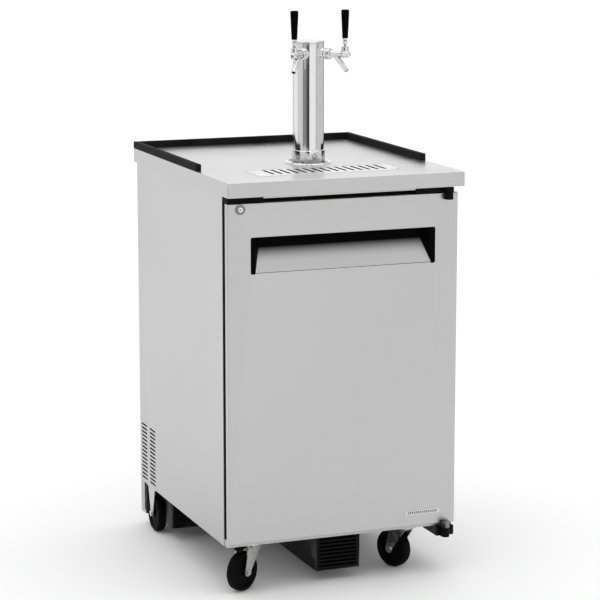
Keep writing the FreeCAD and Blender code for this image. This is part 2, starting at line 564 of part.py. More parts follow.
def rear_bracket():
    """Rigid bracket of the left rear wheel: plate, two tapered cheeks and the axle bolt."""
    x, y = -REAR_X, REAR_Y
    plate = box(x - 15.5, x + 28, y - 35, y + 35, BODY_Z0 - 3, BODY_Z0)
    cheeks = []
    for s in (-1, 1):
        x0 = x + s * 14.1 - 1.3
        face = [(x0, y - 27, BODY_Z0 - 2), (x0, y + 27, BODY_Z0 - 2),
                (x0, y + 9, WHEEL_R), (x0, y - 9, WHEEL_R)]
        cheeks += [prism(face, (2.6, 0, 0)), rod(9, (x0, y, WHEEL_R), (x0 + 2.6, y, WHEEL_R))]
    bolt = rod(AXLE_R, (x - 18, y, WHEEL_R), (x + 18, y, WHEEL_R))
    nuts = [rod(7.5, (x + s * 15.4, y, WHEEL_R), (x + s * 19, y, WHEEL_R)) for s in (-1, 1)]
    heads = [rod(4.5, (x + 22, y + s * 27, BODY_Z0 - 6), (x + 22, y + s * 27, BODY_Z0 - 3)) for s in (-1, 1)]
    return fuse([plate, bolt] + cheeks + nuts + heads)


def rear_wheel(side):
    upright = FreeCAD.Rotation(V(0, 0, 1), V(1, 0, 0))
    return moved(wheel(REAR_W), FreeCAD.Placement(V(side * REAR_X, REAR_Y, WHEEL_R), upright))


# ---- refrigeration -----------------------------------------------------------------------------------
def compressor():
    """Welded shell on a foot plate with four rubber-mounted feet."""
    x, y = -125.0, 262.0
    shell = revolve([(0, 58), (38, 60), (56, 70), (60, 82), (60, 128), (61.5, 130), (61.5, 134), (60, 136),
                     (60, 172), (54, 190), (36, 202), (0, 206)], (x, y, 0))
    plate = box(x - 70, x + 70, y - 46, y + 46, 50, 53)
    neck = ring(40, 30, (x, y, 53), (x, y, 66))
    feet = [rod(9, (x + sx * 58, y + sy * 36, 34.2), (x + sx * 58, y + sy * 36, 50)) for sx in (-1, 1)
            for sy in (-1, 1)]
    box_cover = box(x + 52, x + 78, y - 20, y + 20, 100, 150)
    return fuse([shell, plate, neck, box_cover] + feet)


def condenser():
    """Finned coil standing across the air path."""
    x0, x1, y0, y1 = 40.0, 210.0, 214.0, 250.0
    ends = [box(x - 1, x + 1, y0, y1, 36, 226) for x in (x0, x1)]
    fins = [box(x - 0.35, x + 0.35, y0 + 2, y1 - 2, 44, 222) for x in span(18, 9.0, 125.0)]
    tubes = [rod(4, (x0 - 8, y, z), (x1 + 8, y, z)) for z in span(7, 25, 133) for y in (y0 + 10, y1 - 10)]
    feet = [box(x0 - 1, x1 + 1, y0, y0 + 3, 34.2, 37)]
    return fuse(ends + fins + tubes + feet)


FAN_X, FAN_Z = 125.0, 133.0


def condenser_shroud():
    """Plate with a round mouth behind the coil, and the motor on its three arms."""
    y = 251.0
    plate = box(40, 210, y, y + 1.5, 38, 226)
    plate = plate.cut(rod(76, (FAN_X, y - 1, FAN_Z), (FAN_X, y + 5, FAN_Z)))
    mouth = ring(77.5, 76, (FAN_X, y, FAN_Z), (FAN_X, y + 37, FAN_Z))
    motor = rod(27, (FAN_X, y + 36, FAN_Z), (FAN_X, y + 70, FAN_Z))
    shaft = rod(3, (FAN_X, y + 12, FAN_Z), (FAN_X, y + 36, FAN_Z))
    arms = []
    for k in range(3):
        a = math.radians(90 + 120 * k)
        tip = (FAN_X + 76.7 * math.cos(a), y + 34, FAN_Z + 76.7 * math.sin(a))
        root = (FAN_X + 24 * math.cos(a), y + 42, FAN_Z + 24 * math.sin(a))
        arms.append(rod(2.2, root, tip))
    return fuse([plate, mouth, motor, shaft] + arms)


def fan(centre, r_tip, r_hub, depth, blades, bore):
    """Axial fan turning about Y."""
    x, y, z = centre
    hub = ring(r_hub, bore + RUN, (x, y, z), (x, y + depth, z))
    parts = [hub]
    for k in range(blades):
        blade = box(r_hub - 1.5, r_tip, -r_tip * 0.27, r_tip * 0.27, -0.7, 0.7)
        blade.rotate(V(0, 0, 0), V(1, 0, 0), 28)
        blade.rotate(V(0, 0, 0), V(0, 0, 1), 360.0 * k / blades)
        blade.rotate(V(0, 0, 0), V(1, 0, 0), 90)
        blade.translate(V(x, y + depth / 2, z))
        parts.append(blade.common(rod(r_tip, (x, y - 20, z), (x, y + depth + 20, z))))
    return fuse(parts)


def pipe(points, r):
    """Tube along a polyline, rounded by a ball at each bend."""
    parts = [rod(r, a, b) for a, b in zip(points, points[1:])]
    parts += [Part.makeSphere(r, V(*p)) for p in points[1:-1]]
    return fuse(parts)


def refrigerant_pipes():
    """Discharge line, liquid line with its drier, and suction line up to the evaporator."""
    discharge = pipe([(-125, 262, 206.5), (-125, 262, 240), (20, 262, 240), (20, 224, 208),
                      (31.5, 224, 208)], 3.5)
    drier = revolve([(0, 0), (3.5, 0), (11, 9), (11, 70), (3.5, 79), (0, 79)], (-30, 236, 70))
    liquid = fuse([pipe([(31.5, 240, 58), (-30, 236, 58), (-30, 236, 71)], 3.5), drier,
                   pipe([(-30, 236, 148), (-30, 236, 270), (0, 236, 290), (0, 236, 297)], 3.5)])
    return discharge, liquid


def evaporator_coil():
    ends = [box(x - 1, x + 1, 232, 286, 742, 846) for x in (-150, 150)]
    fins = [box(x - 0.35, x + 0.35, 234, 284, 746, 842) for x in span(20, 14.0)]
    tubes = [rod(4, (-158, y, z), (158, y, z)) for z in span(4, 25, 794) for y in (246, 272)]
    return fuse(ends + fins + tubes)


EVAP_Z = 794.0


def evaporator_cover():
    """Housing on the rear wall: fan mouth in front, air slots below, motor bracket inside."""
    shell = box(-180, 180, 190, ROOM_Y1 - 1, 720, 870).cut(box(-178, 178, 192, ROOM_Y1, 722, 868))
    mouth = rod(52, (0, 185, EVAP_Z), (0, 195, EVAP_Z))
    slots = [box(x - 5, x + 5, 200, 280, 715, 725) for x in span(14, 24)]
    shell = cut(shell, [mouth] + slots)
    motor = rod(20, (0, 212, EVAP_Z), (0, 230, EVAP_Z))
    shaft = rod(2.5, (0, 198, EVAP_Z), (0, 213, EVAP_Z))
    bars = [box(-179, 179, 224, 227, EVAP_Z - 6, EVAP_Z + 6)]
    guard = [ring(r + 1, r - 1, (0, 188, EVAP_Z), (0, 190, EVAP_Z)) for r in (18, 35, 53)]
    spokes = [box(-54, 54, 188.2, 190.2, EVAP_Z - 1, EVAP_Z + 1),
              box(-1, 1, 188.2, 190.2, EVAP_Z - 54, EVAP_Z + 54)]
    return fuse([shell, motor, shaft] + bars + guard + spokes)


def thermostat_box():
    case = box(110, 180, 60, 110, 865, ROOM_Z1)
    case = case.makeFillet(4, [e for e in case.Edges if e.BoundBox.ZMax < 866])
    return cut(case, [rod(4 + RUN, (145, 59, 880), (145, 75, 880))])


def thermostat_dial():
    knob = fuse([rod(13, (145, 46, 880), (145, 59.5, 880)), rod(4, (145, 59, 880), (145, 74, 880))])
    return fuse([knob, box(144, 146, 44, 47, 880, 892)])


# ---- every piece -------------------------------------------------------------------------------------
left_panel = side_panel()
save("side_panel_left", left_panel)
save("side_panel_right", mirror_x(left_panel))
save("back_panel", back_panel())
save("rear_cover", rear_cover())
save("base_pan", base_pan())
save("front_frame", front_frame())
save("liner", liner())
save("insulation", insulation())
save("machine_housing", machine_housing())
save("air_duct", air_duct())
save("worktop", worktop())
save("drip_tray", drip_tray())
save("drip_grate", drip_grate())
save("guard_rails", *guard_rails())

save("door_skin", door_skin())
save("door_core", door_core())
save("door_liner", door_liner())
save("door_gasket", door_gasket())
save("grip_cup", grip_cup())
save("grip_ramp", grip_ramp())
save("badge", badge())
save("hinge_knuckles", hinge_knuckle(931, 946.5), hinge_knuckle(118.6, 134.5))
save("hinge_bracket_top", hinge_bracket_top())
save("hinge_bracket_bottom", hinge_bracket_bottom())
save("strike_cap", strike_cap())
save("lock_bezel", lock_bezel())
save("lock_plug", lock_plug())

save("tower_flange", tower_flange())
save("tower_column", tower_column())
save("tower_cap", tower_cap())
save("shanks", *both_taps(shank()))
save("coupling_nuts", *both_taps(coupling_nut()))
save("tap_bodies", *both_taps(tap_body()))
save("bonnets", *both_taps(bonnet()))
for side, name in ((-1, "left"), (1, "right")):
    save("plunger_" + name, tap_frame(plunger(), side))
    save("lever_" + name, tap_frame(lever(), side))
    save("handle_" + name, tap_frame(handle(), side))

save("castor_plates", *[castor_plate(which) for which in FRONT_CASTORS])
for which in FRONT_CASTORS:
    save("castor_fork_" + which, castor_frame(castor_fork(), which))
    save("brake_pedal_" + which, castor_frame(brake_pedal(), which))
    save("front_wheel_" + which, front_wheel(which))
bracket = rear_bracket()
save("rear_brackets", bracket, mirror_x(bracket))
save("rear_wheel_left", rear_wheel(-1))
save("rear_wheel_right", rear_wheel(1))

save("compressor", compressor())
save("condenser", condenser())
save("condenser_shroud", condenser_shroud())
save("condenser_fan", fan((FAN_X, 260, FAN_Z), 73, 20, 18, 5, 3))
save("refrigerant_pipes", *refrigerant_pipes())
save("evaporator_coil", evaporator_coil())
save("evaporator_cover", evaporator_cover())
save("evaporator_fan", fan((0, 197, EVAP_Z), 49, 14, 12, 5, 2.5))
save("thermostat_box", thermostat_box())
save("thermostat_dial", thermostat_dial())
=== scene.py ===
"""Looks of the kegerator: finishes, fittings, studio, light and camera round the CAD frame."""
import math

import bmesh
import bpy
from mathutils import Matrix, Vector


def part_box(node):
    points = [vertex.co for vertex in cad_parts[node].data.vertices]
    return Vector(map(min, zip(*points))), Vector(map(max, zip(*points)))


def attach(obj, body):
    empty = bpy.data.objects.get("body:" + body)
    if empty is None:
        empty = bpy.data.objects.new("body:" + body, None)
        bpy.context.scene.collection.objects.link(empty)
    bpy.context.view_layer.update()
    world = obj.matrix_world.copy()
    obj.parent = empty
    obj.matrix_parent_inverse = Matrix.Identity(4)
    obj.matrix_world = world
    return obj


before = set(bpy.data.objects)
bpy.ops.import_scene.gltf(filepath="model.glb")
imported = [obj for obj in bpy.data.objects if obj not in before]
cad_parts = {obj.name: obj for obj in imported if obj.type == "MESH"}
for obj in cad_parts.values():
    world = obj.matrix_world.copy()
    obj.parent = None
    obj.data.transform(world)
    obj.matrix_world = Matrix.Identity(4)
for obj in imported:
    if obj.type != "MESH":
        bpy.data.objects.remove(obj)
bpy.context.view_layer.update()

MM = 0.001
RAMP_SHADE = (0.802, 0.836)    # heights over which the recess's floor is painted darker towards its top: painted shade under the edge
TRAY_RIM = (0.992, 0.995)     # heights between which the drip tray's well, painted dark as shade, gives way to its rim


# ---------------------------------------------------------------- node materials

class Finish:
    """One procedural material, built socket by socket."""

    def __init__(self, name, color, metallic=0.0, roughness=0.5):
        self.material = bpy.data.materials.new(name)
        self.material.use_nodes = True
        tree = self.material.node_tree
        self.nodes, self.links = tree.nodes, tree.links
        self.nodes.clear()
        self.shader = self.nodes.new("ShaderNodeBsdfPrincipled")
        output = self.nodes.new("ShaderNodeOutputMaterial")
        self.links.new(self.shader.outputs[0], output.inputs[0])
        self.place = self.nodes.new("ShaderNodeTexCoord").outputs["Object"]
        self.shader.inputs["Base Color"].default_value = (*color, 1)
        self.shader.inputs["Metallic"].default_value = metallic
        self.shader.inputs["Roughness"].default_value = roughness
        self.normal = None

    def put(self, socket, value):
        if isinstance(value, bpy.types.NodeSocket):
            self.links.new(value, socket)
        else:
            socket.default_value = value

    def stretched(self, scale):
        mapping = self.nodes.new("ShaderNodeMapping")
        mapping.inputs["Scale"].default_value = scale
        self.links.new(self.place, mapping.inputs["Vector"])
        return mapping.outputs[0]

    def noise(self, scale, stretch=(1, 1, 1), detail=3.0, rough=0.5):
        noise = self.nodes.new("ShaderNodeTexNoise")
        self.links.new(self.stretched(stretch), noise.inputs["Vector"])
        noise.inputs["Scale"].default_value = scale
        noise.inputs["Detail"].default_value = detail
        noise.inputs["Roughness"].default_value = rough
        return noise.outputs["Fac"]

    def cells(self, scale, stretch=(1, 1, 1), feature="F1", output="Distance"):
        cells = self.nodes.new("ShaderNodeTexVoronoi")
        cells.feature = feature
        self.links.new(self.stretched(stretch), cells.inputs["Vector"])
        cells.inputs["Scale"].default_value = scale
        return cells.outputs[output]

    def fit(self, value, low, high, from_low=0.3, from_high=0.7):
        """Maps value from one range to another, clamped."""
        fit = self.nodes.new("ShaderNodeMapRange")
        for name, number in (("From Min", from_low), ("From Max", from_high),
                             ("To Min", low), ("To Max", high)):
            fit.inputs[name].default_value = number
        self.links.new(value, fit.inputs["Value"])
        return fit.outputs[0]

    def mix(self, factor, a, b):
        """A colour between a and b."""
        mix = self.nodes.new("ShaderNodeMix")
        mix.data_type = "RGBA"
        self.put(mix.inputs["Factor"], factor)
        self.put(mix.inputs["A"], (*a, 1) if isinstance(a, tuple) else a)
        self.put(mix.inputs["B"], (*b, 1) if isinstance(b, tuple) else b)
        return mix.outputs["Result"]

    def math(self, kind, a, b):
        step = self.nodes.new("ShaderNodeMath")
        step.operation = kind
        self.put(step.inputs[0], a)
        self.put(step.inputs[1], b)
        return step.outputs[0]

    def edges(self, low=0.52, high=0.6):
        """0 on flats, 1 along outward edges, from the mesh's own curvature."""
        geometry = self.nodes.new("ShaderNodeNewGeometry")
        return self.fit(geometry.outputs["Pointiness"], 0.0, 1.0, low, high)

    def color(self, value):
        self.put(self.shader.inputs["Base Color"], value)
        return self

    def rough(self, value):
        self.put(self.shader.inputs["Roughness"], value)
        return self

    def bump(self, height, distance, strength=1.0):
        bump = self.nodes.new("ShaderNodeBump")
        bump.inputs["Distance"].default_value = distance
        bump.inputs["Strength"].default_value = strength
        self.links.new(height, bump.inputs["Height"])
        if self.normal is not None:
            self.links.new(self.normal, bump.inputs["Normal"])
        self.normal = bump.outputs[0]
        self.put(self.shader.inputs["Normal"], self.normal)
        return self


def grey(value, warm=0.0):
    return (value + warm, value, value - warm)


ALONG = {"x": (1, 60, 60), "y": (60, 1, 60), "z": (60, 60, 1)}


def brushed_steel(name, along, tone, rough):
    """Satin stainless sheet: hairline grain along one axis, handling marks, and a painted highlight
    along its folds.
    """
    f = Finish(name, grey(tone), 1.0, rough)
    hairs = f.noise(14, ALONG[along], 4, 0.6)
    clouds = f.noise(2.2, (1, 1, 1), 3, 0.5)
    base = f.mix(f.fit(hairs, 0, 1, 0.35, 0.65), grey(tone * 0.97), grey(tone * 1.03))
    base = f.mix(f.math("MULTIPLY", f.fit(clouds, 0, 1), 0.25), base, grey(tone * 1.05))
    # painted highlight: outward edges, found from the curvature, are painted lighter
    f.color(f.mix(f.math("MULTIPLY", f.edges(), 0.5), base, grey(min(1, tone * 1.25))))
    f.rough(f.math("ADD", f.fit(hairs, rough - 0.05, rough + 0.05),
                   f.fit(clouds, -0.03, 0.03)))
    return f.bump(hairs, 0.00003, 0.35).material


def worktop_steel(name, top, edge, rough):
    """Satin worktop: its upper face is painted lighter than its folded edges, as painted light from
    above.
    """
    f = Finish(name, grey(top), 1.0, rough)
    split = f.nodes.new("ShaderNodeSeparateXYZ")
    geometry = f.nodes.new("ShaderNodeNewGeometry")
    f.links.new(geometry.outputs["Normal"], split.inputs[0])
    # painted light: faces turned upward get the lighter top tone, the others the darker edge tone
    lit_top_mask = f.fit(split.outputs["Z"], 0, 1, 0.5, 0.9)
    hairs = f.noise(14, ALONG["x"], 4, 0.6)
    clouds = f.noise(4, (1, 1, 1), 3, 0.5)
    tone = f.mix(lit_top_mask, grey(edge), grey(top))
    tone = f.mix(f.math("MULTIPLY", f.fit(hairs, 0, 1), 0.2), tone, grey(edge * 0.9))
    f.color(f.mix(f.math("MULTIPLY", f.fit(clouds, 0, 1), 0.15), tone, grey(top * 1.05)))
    f.rough(f.math("ADD", f.fit(hairs, rough - 0.04, rough + 0.04), f.fit(clouds, -0.03, 0.03)))
    return f.bump(hairs, 0.00003, 0.3).material


def ramp_steel(name, tone):
    """Satin floor of the hand recess, painted darker where it runs in under the edge, as painted
    shade.
    """
    f = Finish(name, grey(tone), 1.0, 0.45)
    split = f.nodes.new("ShaderNodeSeparateXYZ")
    f.links.new(f.place, split.inputs[0])
    recess_shade = f.fit(split.outputs["Z"], 0, 1, *RAMP_SHADE)
    hairs = f.noise(14, ALONG["x"], 4, 0.6)
    base = f.mix(f.fit(hairs, 0, 1), grey(tone * 0.98), grey(tone * 1.02))
    # painted shade: darkened towards the top of the recess, under its edge
    f.color(f.mix(f.math("POWER", recess_shade, 1.6), base, grey(tone * 0.1)))
    f.rough(f.fit(hairs, 0.4, 0.5))
    return f.bump(hairs, 0.00003, 0.3).material


def polished_steel(name, tone, rough, swirl):
    """Mirror-polished metal with faint buffing lines and water spots."""
    f = Finish(name, grey(tone), 1.0, rough)
    lines = f.noise(26, (1, 1, swirl), 3, 0.5)
    spots = f.noise(90, (1, 1, 1), 2, 0.5)
    f.color(f.mix(f.fit(spots, 0, 0.35, 0.6, 0.75), grey(tone), grey(tone * 0.9)))
    f.rough(f.math("ADD", f.fit(lines, rough * 0.7, rough * 1.4),
                   f.fit(spots, 0, 0.05, 0.6, 0.8)))
    return f.bump(lines, 0.00002, 0.12).material


def chrome(name, tone):
    """Bright plating, dulled by water marks, with painted shade in its inner corners."""
    f = Finish(name, grey(tone), 1.0, 0.06)
    spots = f.noise(110, (1, 1, 1), 3, 0.55)
    geometry = f.nodes.new("ShaderNodeNewGeometry")
    corner_shade = f.fit(geometry.outputs["Pointiness"], 1.0, 0.0, 0.42, 0.5)
    plated = f.mix(f.fit(spots, 0, 1), grey(tone * 1.06), grey(tone * 0.9))
    # painted shade: hollow corners, found from the curvature, are painted near-black
    f.color(f.mix(f.math("MULTIPLY", corner_shade, 0.8), plated, grey(0.08)))
    f.rough(f.fit(spots, 0.03, 0.11))
    return f.bump(f.noise(60, (1, 1, 1), 2), 0.00003, 0.1).material


def moulded_plastic(name, color, rough, shine):
    """Injection-moulded plastic: fine spark-eroded texture, paler rubbed edges."""
    f = Finish(name, color, 0.0, rough)
    f.shader.inputs["Specular IOR Level"].default_value = shine
    texture = f.noise(1400, (1, 1, 1), 2, 0.6)
    scuffs = f.noise(14, (1, 1, 1), 5, 0.6)
    pale = tuple(min(1, c * 1.5 + 0.02) for c in color)
    wear = f.math("MULTIPLY", f.edges(), f.fit(scuffs, 0.15, 0.8))
    rubbed = tuple(min(1, c * 1.25) for c in color)
    f.color(f.mix(wear, f.mix(f.fit(scuffs, 0, 0.5), color, rubbed), pale))
    f.rough(f.math("ADD", f.fit(texture, rough - 0.06, rough + 0.06), f.fit(scuffs, -0.05, 0.08)))
    return f.bump(texture, 0.00005, 0.5).material


def powder_coat(name, color):
    """Baked powder paint on steel: orange peel, chipped a little along the edges."""
    f = Finish(name, color, 0.0, 0.45)
    f.shader.inputs["Specular IOR Level"].default_value = 0.07
    peel = f.noise(420, (1, 1, 1), 2, 0.5)
    dust = f.noise(9, (1, 1, 1), 5, 0.65)
    chips = f.math("MULTIPLY", f.edges(0.55, 0.64), f.fit(dust, 0, 1, 0.45, 0.6))
    base = f.mix(f.fit(dust, 0, 1), color, tuple(c * 1.5 + 0.002 for c in color))
    f.color(f.mix(chips, base, grey(0.35)))
    f.rough(f.fit(dust, 0.38, 0.58))
    return f.bump(peel, 0.0001, 0.35).material


def rubber(name, color, rough):
    """Matt rubber with a dusty bloom."""
    f = Finish(name, color, 0.0, rough)
    f.shader.inputs["Specular IOR Level"].default_value = 0.06
    fine = f.noise(900, (1, 1, 1), 3, 0.6)
    bloom = f.noise(25, (1, 1, 1), 5, 0.6)
    f.color(f.mix(f.fit(bloom, 0, 0.6), color, tuple(c * 1.6 + 0.002 for c in color)))
    f.rough(f.fit(bloom, rough - 0.08, rough + 0.1))
    return f.bump(fine, 0.00008, 0.5).material


def tray_steel(name):
    """Bright rim of the drip tray; the well under the grate is painted near-black as painted shade,
    with a faint mottle.
    """
    f = Finish(name, grey(0.85), 1.0, 0.2)
    split = f.nodes.new("ShaderNodeSeparateXYZ")
    f.links.new(f.place, split.inputs[0])
    rim = f.fit(split.outputs["Z"], 0, 1, *TRAY_RIM)
    stain = f.noise(30, (1, 1, 1), 4, 0.6)
    # painted shade: below the rim the well is painted near-black, mottled by noise
    shaded_well = f.mix(f.fit(stain, 0, 1), grey(0.004), grey(0.012))
    f.color(f.mix(rim, shaded_well, grey(0.76)))
    f.rough(f.fit(stain, 0.2, 0.34))
    return f.bump(f.noise(500), 0.00003, 0.3).material


def galvanised(name, tone):
    """Hot-dip galvanised sheet with its spangle."""
    f = Finish(name, grey(tone), 1.0, 0.42)
    shade = f.nodes.new("ShaderNodeSeparateColor")
    f.links.new(f.cells(95, output="Color"), shade.inputs[0])
    spangle = shade.outputs[0]
    bloom = f.noise(8, (1, 1, 1), 4, 0.6)
    base = f.mix(spangle, grey(tone * 0.86, 0.004), grey(tone * 1.1, -0.004))
    f.color(f.mix(f.fit(bloom, 0, 0.3), base, grey(tone * 0.8)))
    f.rough(f.math("ADD", f.fit(spangle, 0.3, 0.46, 0, 1), f.fit(bloom, 0, 0.1)))
    return f.bump(f.noise(300), 0.00003, 0.3).material


def zinc_plate(name, tone):
    """Bright zinc-plated pressed steel, duller where it has been handled."""
    f = Finish(name, grey(tone), 1.0, 0.25)
    bloom = f.noise(60, (1, 1, 1), 4, 0.6)
    f.color(f.mix(f.fit(bloom, 0, 0.5), grey(tone, 0.006), grey(tone * 0.75)))
    f.rough(f.fit(bloom, 0.18, 0.4))
    return f.bump(f.noise(700, (1, 1, 1), 3), 0.00003, 0.4).material


def foam(name):
    """Rigid polyurethane foam, buff, with open cells."""
    f = Finish(name, (0.72, 0.6, 0.36), 0.0, 0.85)
    pores = f.cells(700)
    mottle = f.noise(40, (1, 1, 1), 4)
    f.color(f.mix(f.fit(mottle, 0, 1), (0.75, 0.64, 0.4), (0.62, 0.5, 0.28)))
    return f.bump(pores, 0.0006, 0.7).material


def stucco_sheet(name, tone):
    """Embossed aluminium lining sheet."""
    f = Finish(name, grey(tone), 1.0, 0.38)
    pebbles = f.cells(160, (1, 1, 1), "SMOOTH_F1")
    dull = f.noise(5, (1, 1, 1), 4)
    f.color(f.mix(f.fit(dull, 0, 1), grey(tone), grey(tone * 0.88)))
    f.rough(f.fit(dull, 0.32, 0.46))
    return f.bump(pebbles, 0.0004, 0.45).material


def copper(name):
    """Drawn copper tube, browned where it was brazed."""
    f = Finish(name, (0.72, 0.36, 0.2), 1.0, 0.3)
    stain = f.noise(22, (1, 1, 1), 5, 0.65)
    f.color(f.mix(f.fit(stain, 0, 1, 0.4, 0.66), (0.78, 0.4, 0.24), (0.33, 0.15, 0.08)))
    f.rough(f.fit(stain, 0.22, 0.5))
    return f.bump(f.noise(400, (1, 1, 1), 3), 0.00005, 0.3).material


def fin_pack(name):
    """Stacked aluminium fins, their edges seen as close ribs."""
    f = Finish(name, grey(0.55), 1.0, 0.4)
    wave = f.nodes.new("ShaderNodeTexWave")
    wave.bands_direction = "X"
    wave.inputs["Scale"].default_value = 130
    f.links.new(f.stretched((1, 1, 1)), wave.inputs["Vector"])
    dust = f.noise(30, (1, 1, 1), 5)
    ribs = f.mix(wave.outputs["Fac"], grey(0.2), grey(0.65))
    f.color(f.mix(f.fit(dust, 0, 0.35), ribs, (0.3, 0.28, 0.25)))
    f.rough(f.fit(dust, 0.32, 0.55))
    return f.bump(wave.outputs["Fac"], 0.0004, 0.8).material


finishes = {
    "stainless_panel": brushed_steel("satin_steel_upright", "z", 0.47, 0.36),
    "stainless_top": worktop_steel("satin_steel_lengthwise", 0.68, 0.5, 0.27),
    "galvanised_sheet": galvanised("galvanised_spangle", 0.5),
    "liner_sheet": stucco_sheet("embossed_lining", 0.66),
    "foam": foam("buff_foam"),
    "black_plastic": moulded_plastic("black_moulding", grey(0.001), 0.5, 0.025),
    "inner_panel": moulded_plastic("white_moulding", (0.72, 0.73, 0.72), 0.35, 0.5),
    "gasket_rubber": rubber("gasket_vinyl", grey(0.02), 0.6),
    "black_steel": powder_coat("black_powder_coat", grey(0.002)),
    "tower_steel": polished_steel("polished_tube", 0.74, 0.09, 40),
    "chrome_plate": chrome("bright_chrome", 0.72),
    "badge_plate": polished_steel("badge_satin", 0.62, 0.25, 1),
    "zinc_steel": zinc_plate("zinc_plating", 0.56),
    "wheel_rubber": rubber("wheel_rubber", grey(0.001), 0.6),
    "copper_tube": copper("copper_tube"),
    "coil_fins": fin_pack("aluminium_fins"),
}
special = {
    # painted light: the same steel as the door, painted a little lighter for the light falling on
    # the sides
    "side_panel_left": brushed_steel("satin_steel_side", "z", 0.5, 0.36),
    "drip_grate": polished_steel("grate_steel", 0.76, 0.2, 1),
    "drip_tray": tray_steel("tray_steel"),
    "grip_ramp": ramp_steel("ramp_steel", 0.55),
    "tower_cap": polished_steel("cap_steel", 0.62, 0.16, 1),
    "lock_bezel": chrome("lock_ring", 0.22),
    "lock_plug": chrome("lock_face", 0.72),
}
special["side_panel_right"] = special["side_panel_left"]


# ---------------------------------------------------------------- CAD nodes

BEVELS = {
    "worktop": 1.2,
    "hinge_bracket_top": 1.0, "strike_cap": 1.0,
    "hinge_bracket_bottom": 1.0, "air_duct": 0.6, "machine_housing": 0.6,
    "badge": 0.3, "castor_fork_left": 0.5, "castor_fork_right": 0.5, "castor_plates": 0.5,
    "brake_pedal_left": 0.5, "brake_pedal_right": 0.5, "rear_brackets": 0.5,
    "thermostat_box": 0.6, "grip_cup": 0.4,
}
SHARP = math.radians(35)


def dress(node, piece):
    """Gives a CAD node its finish and rounds its sharp edges a little."""
    slot = piece.material_slots[0].material.name.split(".")[0]
    for place in piece.material_slots:
        place.material = special.get(node, finishes[slot])
    if node in BEVELS:
        weld = piece.modifiers.new("weld", "WELD")
        weld.merge_threshold = 0.00001
        flats = piece.modifiers.new("flats", "DECIMATE")
        flats.decimate_type = "DISSOLVE"
        flats.angle_limit = math.radians(1)
        bevel = piece.modifiers.new("edges", "BEVEL")
        bevel.width = BEVELS[node] * MM
        bevel.segments = 2
        bevel.limit_method = "ANGLE"
        bevel.angle_limit = SHARP
        bevel.use_clamp_overlap = True
        tidy = piece.modifiers.new("normals", "WEIGHTED_NORMAL")
        tidy.keep_sharp = True


for node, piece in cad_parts.items():
    dress(node, piece)


# ---------------------------------------------------------------- fittings

def frame_at(place, axis):
    """Placement with +Z along axis, at place."""
    return Matrix.Translation(place) @ Vector(axis).to_track_quat("Z", "Y").to_matrix().to_4x4()


def add_piece(name, mesh, slot, body):
    """A fitting in the finish of one of the record's slots, fixed to a CAD body."""
    mesh.materials.append(finishes[slot])
    piece = bpy.data.objects.new(name, mesh)
    bpy.context.scene.collection.objects.link(piece)
    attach(piece, body)
    return piece


def reach(shape, turn):
    """How far a ring's point stands out, for a round, hexagonal or cross outline of size 1."""
    if shape == "hex":
        return 1 / math.cos((turn + math.pi / 6) % (math.pi / 3) - math.pi / 6)
    if shape == "cross":
        return 0.3 + 0.7 * abs(math.cos(2 * turn)) ** 8
    return 1.0


def add_turned(bm, rings, placement, sides):
    """Skins (radius, height, outline) rings, first to last, and closes both ends."""
    rows = []
    for radius, height, shape in rings:
        row = []
        for k in range(sides):
            turn = 2 * math.pi * k / sides
            r = radius * reach(shape, turn)
            point = Vector((r * math.cos(turn), r * math.sin(turn), height))
            row.append(bm.verts.new(placement @ point))
        rows.append(row)
    for low, high in zip(rows, rows[1:]):
        for k in range(sides):
            n = (k + 1) % sides
            bm.faces.new((low[k], low[n], high[n], high[k]))
    bm.faces.new(reversed(rows[0]))
    bm.faces.new(rows[-1])


def to_mesh(name, bm):
    bmesh.ops.recalc_face_normals(bm, faces=bm.faces)
    mesh = bpy.data.meshes.new(name)
    bm.to_mesh(mesh)
    bm.free()
    mesh.set_sharp_from_angle(angle=math.radians(30))
    mesh.polygons.foreach_set("use_smooth", [True] * len(mesh.polygons))
    return mesh


def pan_head(r):
    """Rings of a cross-recessed pan-head screw of radius r."""
    return [(r, 0, "round"), (r, 0.25 * r, "round"), (0.93 * r, 0.42 * r, "round"),
            (0.75 * r, 0.54 * r, "round"), (0.62 * r, 0.58 * r, "round"),
            (0.55 * r, 0.59 * r, "cross"), (0.36 * r, 0.25 * r, "cross")]


def hex_head(r):
    """Rings of a flanged hexagon bolt of radius r."""
    return [(1.25 * r, 0, "round"), (1.25 * r, 0.12 * r, "round"), (0.9 * r, 0.2 * r, "hex"),
            (0.9 * r, 0.68 * r, "hex"), (0.82 * r, 0.76 * r, "round"),
            (0.4 * r, 0.76 * r, "round")]


def add_screws(name, rings, spots, slot, body):
    """One piece of several screws; each spot is (place, outward axis), in metres."""
    bm = bmesh.new()
    for place, axis in spots:
        add_turned(bm, rings, frame_at(place, axis), 24)
    add_piece(name, to_mesh(name, bm), slot, body)


def add_slab(name, low, high, soft, slot, body):
    """A closed strip between two corners, its edges rounded by soft; all in millimetres."""
    bm = bmesh.new()
    corners = [bm.verts.new(Vector((x, y, z)) * MM)
               for x in (low[0], high[0]) for y in (low[1], high[1]) for z in (low[2], high[2])]
    for face in ((0, 1, 3, 2), (4, 6, 7, 5), (0, 4, 5, 1),
                 (2, 3, 7, 6), (0, 2, 6, 4), (1, 5, 7, 3)):
        bm.faces.new([corners[k] for k in face])
    bmesh.ops.recalc_face_normals(bm, faces=bm.faces)
    bmesh.ops.bevel(bm, geom=bm.edges[:], offset=soft * MM, segments=2, profile=0.5, affect="EDGES")
    add_piece(name, to_mesh(name, bm), slot, body)


def on_both_sides(x, y, heights, axis):
    """Screw places at +x and -x (mm), at a depth in metres and several heights (mm)."""
    return [((side * x * MM, y, z * MM), axis) for side in (-1, 1) for z in heights]


